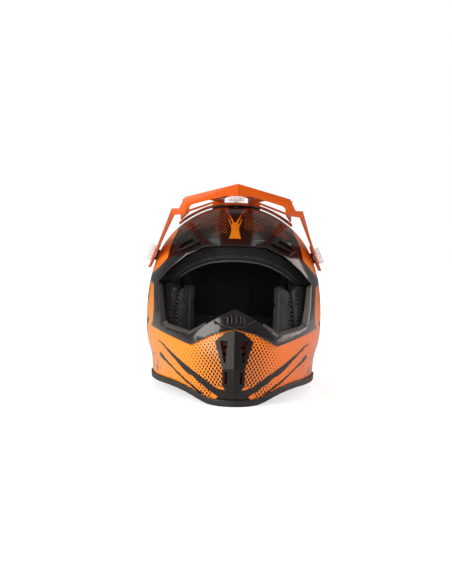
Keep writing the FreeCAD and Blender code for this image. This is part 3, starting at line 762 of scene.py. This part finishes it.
def frame_walls():
    """The sloping inner walls of the eyeport frame, from its upper corners down to the nose guard."""
    tree = surface_of(NODES["eyeport_frame"])
    for side, hand in ((1, "right"), (-1, "left")):
        name = "eyeport_frame_wall_" + hand
        bm = bmesh.new()
        join_rings(bm, wall_rings(bm, tree, side))
        bmesh.ops.recalc_face_normals(bm, faces=bm.faces)
        mesh = mesh_from(bm, name)
        smooth(mesh, 40)
        # The walls' lighter grey is a painted reflection.
        finish_piece(object_from(name, mesh), FRAME_WALL_SHEEN, "helmet")


# ---------------------------------------------------------------- padding
PAD_PRESSURE = 4.0
SWELL_FRAMES = 20


def swell(obj, cap):
    """Inflates a closed mesh with a short cloth simulation, moving no point further than the cap."""
    start = points_of(obj.data)
    cloth = obj.modifiers.new("cloth", "CLOTH")
    cloth.settings.quality = 4
    cloth.settings.mass = 0.3
    cloth.settings.use_pressure = True
    cloth.settings.uniform_pressure_force = PAD_PRESSURE
    cloth.settings.effector_weights.gravity = 0.0
    scene = bpy.context.scene
    for frame_number in range(1, SWELL_FRAMES + 1):
        scene.frame_set(frame_number)
    swollen = points_of(obj.evaluated_get(bpy.context.evaluated_depsgraph_get()).data)
    obj.modifiers.clear()
    scene.frame_set(1)
    travel = swollen - start
    size = np.linalg.norm(travel, axis=1, keepdims=True)
    limit = cap * MM
    move_points(obj.data, start + travel * np.minimum(1.0, limit / np.maximum(size, 1e-9)))


def cushion(name, mesh, voxel, inward, cap, rounding=4):
    """A stuffed cushion grown from a slightly smaller copy of a closed mesh.

    inward is how much smaller the copy is, cap how far it may swell and rounding how often it is smoothed.
    """
    obj = object_from(name, mesh)
    remesh = obj.modifiers.new("remesh", "REMESH")
    remesh.mode = "VOXEL"
    remesh.voxel_size = voxel * MM
    relax = obj.modifiers.new("relax", "SMOOTH")
    relax.factor = 0.5
    relax.iterations = rounding
    bake(obj)
    move_points(obj.data, points_of(obj.data) - normals_of(obj.data) * inward * MM)
    swell(obj, cap)
    obj.modifiers.new("rounding", "SUBSURF").levels = 1
    bake(obj)
    smooth(obj.data, 180)
    return obj


def press(obj, distance, depth, width, facing=None):
    """Presses a sewn channel into a cushion where a signed distance, in mm, is near zero.

    The channel fades out where the cushion's surface turns away from the facing direction.
    """
    points, normals = points_of(obj.data), normals_of(obj.data)
    groove = np.exp(-(distance(from_ear(points)) / width) ** 2) * depth * MM
    if facing is not None:
        groove = groove * np.clip(normals @ np.array(facing) * 2.0, 0.0, 1.0)
    move_points(obj.data, points - normals * groove[:, None])


PAD_SEAM = ((75.0, 147), (83.0, 95))        # upper and lower end of the seam, x and z
PAD_CHANNELS = ((64.0, 0.15), (118.0, -0.1))    # height of each channel at the ear line, and its slope
PAD_EDGE = ((60, -62, 140), (58.5, -64, 122), (58, -65, 100), (58.5, -64, 78), (60, -62, 60))
PAD_THREAD = ((70.5, 138), (72.5, 122), (75.5, 104), (77, 86), (76, 68))


def cheek_pads():
    """Each pad is two cushions that meet at a slanting seam, with a cord along the face's edge."""
    for side, hand in ((1, "right"), (-1, "left")):
        body = node = "cheek_pad_" + hand
        top, low = (ear(side * x, -60, z) for x, z in PAD_SEAM)
        across = (low - top).cross(Vector((0, 1, 0))).normalized()
        if across.x * side < 0:
            across = -across
        outer = cushion(node + "_outer", cut_mesh(node, [(top, across)]), voxel=3.6, inward=1.6, cap=3.4)
        inner = cushion(node + "_inner", cut_mesh(node, [(top, -across)]), voxel=3.6, inward=1.6, cap=3.4)
        for height, slope in PAD_CHANNELS:
            press(inner, lambda p: p[:, 2] - height - slope * p[:, 1], depth=2.2, width=3.0,
                  facing=(-side, 0, 0))
        for half in (outer, inner):
            finish_piece(half, MATERIALS["mesh_cloth"], body, [node])
        tree = surface_of(inner)
        edge = smooth_path([ear(side * x, y, z) for x, y, z in PAD_EDGE], 8)
        piping(node + "_cord", laid_on(tree, edge, 0.3), 0.95, body)
        seam = smooth_path([ear(side * x, -90, z) for x, z in PAD_THREAD], 12)
        stitches(node + "_thread", [seen_from_front(tree, seam, 0.12)], body)


BROW_EDGE = ((-92, 150.5), (-84, 151.5), (-70, 163), (-52, 173), (-30, 180.3), (0, 182.8))


def brow_padding():
    """The brow pad, bound along its lower edge, with two rows of stitches above the binding."""
    pad = cushion("brow_pad_cushion", cut_mesh("brow_pad"), voxel=3.2, inward=1.2, cap=2.6)
    finish_piece(pad, BROW_MESH, "helmet", ["brow_pad"])
    tree = surface_of(pad)
    low_edge = BROW_EDGE + tuple((-x, z) for x, z in reversed(BROW_EDGE[:-1]))
    edge = seen_from_front(tree, smooth_path([ear(x, -150, z) for x, z in low_edge], 8), 0.2)
    piping("brow_pad_binding", edge, 1.0, "helmet")
    rows = [smooth_path([ear(x, -150, z + rise) for x, z in low_edge[1:-1]], 8) for rise in (5.0, 6.8)]
    stitches("brow_pad_thread", [seen_from_front(tree, row, 0.12) for row in rows], "helmet")


CHANNEL_WIDTH = 3.0             # sewn channels of the crown liner
CHANNEL_DEPTH = 2.4


def crown_padding():
    """The liner: quilted panels between two lengthwise channels and a cross channel."""
    liner = cushion("crown_liner_quilt", cut_mesh("crown_liner"), voxel=3.6, inward=0.6, cap=1.6, rounding=2)
    points, normals = points_of(liner.data), normals_of(liner.data)
    x, y, z = from_ear(points).T
    outward = from_ear(points) - np.array([0.0, WIDEST_Y, 120.0])
    inner_face = np.clip(-np.einsum("ij,ij->i", outward, normals) / 30.0, 0.0, 1.0)
    groove = np.zeros(len(points))
    for distance in (x - 26.0, x + 26.0, y - 10.0, z - 150.0):
        groove = np.maximum(groove, np.exp(-(distance / CHANNEL_WIDTH) ** 2))
    move_points(liner.data, points - normals * (groove * inner_face * CHANNEL_DEPTH * MM)[:, None])
    finish_piece(liner, MATERIALS["liner_cloth"], "helmet", ["crown_liner"])


NECK_SEAMS = (-52.0, -26.0, 0.0, 26.0, 52.0)     # places of the seams in degrees from the nape's middle
NECK_DEGREE = 1.9               # one degree round the nape, in mm


def neck_padding():
    """The neck roll, sewn across into short lengths and bound along its lower edge."""
    roll = cushion("neck_pad_roll", cut_mesh("neck_pad"), voxel=4.0, inward=2.0, cap=4.5)
    for seam in NECK_SEAMS:
        def from_seam(points):
            angle = np.degrees(np.arctan2(points[:, 0], points[:, 1] - WIDEST_Y))
            return (angle - seam) * NECK_DEGREE
        press(roll, from_seam, depth=3.0, width=3.2)
    finish_piece(roll, MATERIALS["liner_cloth"], "helmet", ["neck_pad"])
    turns = [math.radians(angle) for angle in np.linspace(-64, 64, 25)]
    path = [ear(92 * math.sin(turn), WIDEST_Y + 118 * math.cos(turn), 20.0) for turn in turns]
    piping("neck_pad_cord", laid_on(surface_of(roll), path, 0.4), 1.1, "helmet")


SLEEVE_HEM = ((1.0, 9.0), (43.0, 31.0))     # opposite corners of the hem, x and y


def strap_padding():
    """The chin strap's soft sleeve with a hem of stitches round it."""
    pad = cushion("chin_strap_sleeve", cut_mesh("chin_strap_pad"), voxel=1.8, inward=0.8, cap=1.6)
    finish_piece(pad, MATERIALS["liner_cloth"], "chin_strap", ["chin_strap_pad"])
    (x0, y0), (x1, y1) = SLEEVE_HEM
    corners = [Vector((x0, y0)), Vector((x1, y0)), Vector((x1, y1)), Vector((x0, y1))]
    tree = surface_of(pad)
    rows = []
    for start, end in zip(corners, corners[1:] + corners[:1]):
        places = [start + (end - start) * t for t in np.linspace(0, 1, 12)]
        rows.append(seen_along(tree, [ear(place.x, place.y, 30.0) for place in places], (0, 0, -1), 0.1))
    stitches("chin_strap_sleeve_thread", rows, "chin_strap", 2.2, 1.2, 0.25)


# ---------------------------------------------------------------- chin strap
# Runs of the strap as (x, z) points. Each half starts at its rivet with the shared run, which is mirrored for
# the left half. The long half goes on to the loose end, the short one round the rings.
SHARED_RUN = ((116.8, 94), (116.8, 82), (116.4, 70), (110.5, 52), (104.5, 40), (95, 30), (80, 21.5), (62, 16))
LONG_TAIL = ((40, 13.8), (10, 13.8), (-14, 17), (-30, 20.1), (-60, 20.8), (-68, 22.4), (-78, 27))
RING_LOOP = ((-50, 12.7), (-46.5, 14.4), (-43, 14.8), (-33, 14.8), (-31.2, 12.6), (-33, 10.4), (-43, 10.4),
             (-47, 11.0), (-52, 12.4))
STRAP_WIDTH = 20.0
# Half of the woven section, as shares of the width and of the thickness: thick edges and a flat middle.
STRAP_SECTION = ((-0.5, 0.25), (-0.485, 0.5), (-0.45, 0.56), (-0.4, 0.46), (-0.2, 0.46), (0.0, 0.46),
                 (0.2, 0.46), (0.4, 0.46), (0.45, 0.56), (0.485, 0.5), (0.5, 0.25))


def ribbon(name, path, thickness, replaced):
    """A flat woven strap with thick, rounded edges along a path of (x, z) in mm."""
    track = smooth_path([Vector((x, 0, z)) for x, z in path], 6)
    outline = [(across * STRAP_WIDTH, half * thickness) for across, half in STRAP_SECTION]
    outline += [(across, -half) for across, half in reversed(outline)]
    bm = bmesh.new()
    rings = []
    for i, point in enumerate(track):
        along = heading(track, i)
        out = Vector((along.z, 0, -along.x))
        places = [point + out * rise + Vector((0, STRAP_Y + across, 0)) for across, rise in outline]
        rings.append([bm.verts.new(ear(place.x, place.y, place.z)) for place in places])
    join_rings(bm, rings)
    bmesh.ops.recalc_face_normals(bm, faces=bm.faces)
    mesh = mesh_from(bm, name)
    smooth(mesh, 50)
    return finish_piece(object_from(name, mesh), MATERIALS["webbing"], "chin_strap", [replaced])


def box_stitch(x0, z0, x1, z1, half, rise):
    """The crossed rectangle sewn through a strap, lying above the line between two (x, z) points."""
    def at(t, across):
        return ear(x0 + (x1 - x0) * t, STRAP_Y + across, z0 + (z1 - z0) * t + rise)
    corners = [at(0, -half), at(1, -half), at(1, half), at(0, half)]
    rows = [[a, b] for a, b in zip(corners, corners[1:] + corners[:1])]
    return rows + [[corners[0], corners[2]], [corners[1], corners[3]]]


def chin_straps():
    """The two halves of the fastened strap and the stitching that closes their loops."""
    ribbon("chin_strap_long_web", SHARED_RUN + LONG_TAIL, 1.7, "chin_strap_long")
    short = tuple((-x, z) for x, z in SHARED_RUN) + RING_LOOP
    ribbon("chin_strap_short_web", short, 1.4, "chin_strap_short")
    rows = box_stitch(-70, 18.1, -56, 14.6, 7.5, 0.9)
    rows += box_stitch(40, 13.9, 22, 13.9, 7.5, -0.95)
    stitches("chin_strap_thread", rows, "chin_strap", 2.0, 1.2, 0.26)


dress_cad()
frame_walls()
cheek_pads()
brow_padding()
crown_padding()
neck_padding()
strap_padding()
chin_straps()


# ---------------------------------------------------------------- stage
LIGHT_AIM = Vector((0.0, 0.0, 0.13))
CAMERA_AIM = Vector((-0.0118, EAR_Y, 0.1355))
CAMERA_DISTANCE = 1.5
CAMERA_LIFT = math.radians(3)
CAMERA_ROLL = math.radians(1.3)
CAMERA_LENS = 64.4


def area_light(name, place, size, power, color):
    """A rectangular light that faces the helmet; size in metres, power in watts."""
    data = bpy.data.lights.new(name, "AREA")
    data.shape = "RECTANGLE"
    data.size, data.size_y = size
    data.energy = power
    data.color = color
    lamp = bpy.data.objects.new(name, data)
    bpy.context.scene.collection.objects.link(lamp)
    lamp.location = place
    lamp.rotation_euler = (LIGHT_AIM - Vector(place)).to_track_quat("-Z", "Y").to_euler()
    return lamp


def build_floor():
    """A pale paper floor that looks brighter to the camera the further away it is."""
    bm = bmesh.new()
    bmesh.ops.create_grid(bm, x_segments=2, y_segments=2, size=8.0)
    floor = object_from("studio_floor", mesh_from(bm, "studio_floor"))
    g = Graph("studio_paper")
    fibre = g.noise(900.0, 2.0)
    color = g.blend(fibre, grey(0.93), grey(0.9))
    far = g.rise(g.node("VectorMath", {0: g.place}, operation="LENGTH").outputs[1], 0.2, 2.2)
    seen = g.node("LightPath").outputs["Is Camera Ray"]
    paper = g.finish(color, g.add(0.8, g.mul(fibre, 0.1)), g.bump(fibre, 0.00005, 0.3),
                     Specular_IOR_Level=0.0, Emission_Color=grey(1))
    shader = paper.node_tree.nodes["Principled BSDF"]
    g.feed(shader.inputs["Emission Strength"], g.mul(seen, g.add(0.6, g.mul(far, 0.5))))
    dress(floor, paper)


def build_world():
    """A white room that lights the helmet only weakly."""
    world = bpy.data.worlds.new("studio")
    world.use_nodes = True
    tree = world.node_tree
    seen = tree.nodes.new("ShaderNodeLightPath").outputs["Is Camera Ray"]
    strength = tree.nodes.new("ShaderNodeMapRange")
    strength.inputs["To Min"].default_value = 0.18
    strength.inputs["To Max"].default_value = 1.0
    tree.links.new(seen, strength.inputs["Value"])
    background = tree.nodes["Background"]
    background.inputs["Color"].default_value = grey(1)
    tree.links.new(strength.outputs["Result"], background.inputs["Strength"])
    bpy.context.scene.world = world


def build_lights():
    """A large soft light on the left and weaker ones on the right, above and in front."""
    area_light("key_left", (-1.75, -0.95, 0.75), (1.6, 1.4), 34.0, (1.0, 0.96, 0.88))
    area_light("fill_right", (1.8, 0.45, 0.6), (1.1, 1.6), 17.0, (1.0, 0.86, 0.84))
    area_light("top", (0.0, -0.2, 1.9), (1.6, 1.2), 7.0, (1.0, 1.0, 1.0))
    front = area_light("front", (0.1, -1.9, 0.35), (1.2, 0.5), 13.0, (1.0, 0.95, 0.9))
    front.visible_glossy = False


def build_camera():
    """Straight in front, a little above the helmet's middle and slightly rolled."""
    away = Vector((0.0, -math.cos(CAMERA_LIFT), math.sin(CAMERA_LIFT)))
    data = bpy.data.cameras.new("camera")
    data.lens = CAMERA_LENS
    data.sensor_width = 36.0
    camera = bpy.data.objects.new("camera", data)
    bpy.context.scene.collection.objects.link(camera)
    camera.location = CAMERA_AIM + away * CAMERA_DISTANCE
    turn = (-away).to_track_quat("-Z", "Y").to_matrix()
    camera.rotation_euler = (turn @ Matrix.Rotation(CAMERA_ROLL, 3, "Z")).to_euler()
    bpy.context.scene.camera = camera


build_floor()
build_world()
build_lights()
build_camera()
bpy.context.scene.view_settings.view_transform = "Standard"
